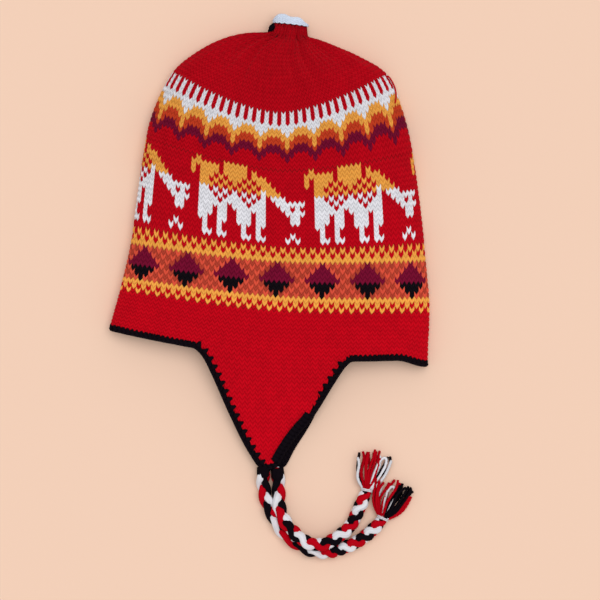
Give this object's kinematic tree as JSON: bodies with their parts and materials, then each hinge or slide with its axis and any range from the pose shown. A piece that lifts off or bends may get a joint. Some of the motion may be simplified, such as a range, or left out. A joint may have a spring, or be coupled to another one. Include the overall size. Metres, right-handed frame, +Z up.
{
  "type": "chullo hat",
  "caption": "Knitted earflap hat lying flat, with a cinched ruffled top, crocheted edging round the rim and both flaps, and a braided tie with a tassel on each flap.",
  "frame": {"origin": "on the table under the middle of the hat's box, measured without the braids and what is on them", "axes": "+Y from the flaps towards the cinched top, +Z up from the table through the flattened hat, +X towards the side fold that the braids lie on"},
  "size_m": [0.2612, 0.4512, 0.04],
  "materials": {
    "knit": "patterned jacquard knit in red, gold, rust, purple, white and black yarn",
    "edging": "crocheted black yarn",
    "braid_yarn": "three-strand braid of red, white and black yarn",
    "tassel_yarn": "loose red, white and black yarn ends",
    "white_yarn": "thin white yarn wound twice round the braid"
  },
  "bodies": {
    "root": {"knit_shell": "knit", "edge_trim": "edging", "top_ruffle": "knit", "crown_tie": "edging", "braid_front": "braid_yarn", "braid_rear": "braid_yarn", "tassel_front": "tassel_yarn", "tassel_rear": "tassel_yarn", "tassel_tie_front": "white_yarn", "tassel_tie_rear": "white_yarn"}
  },
  "joints": []
}
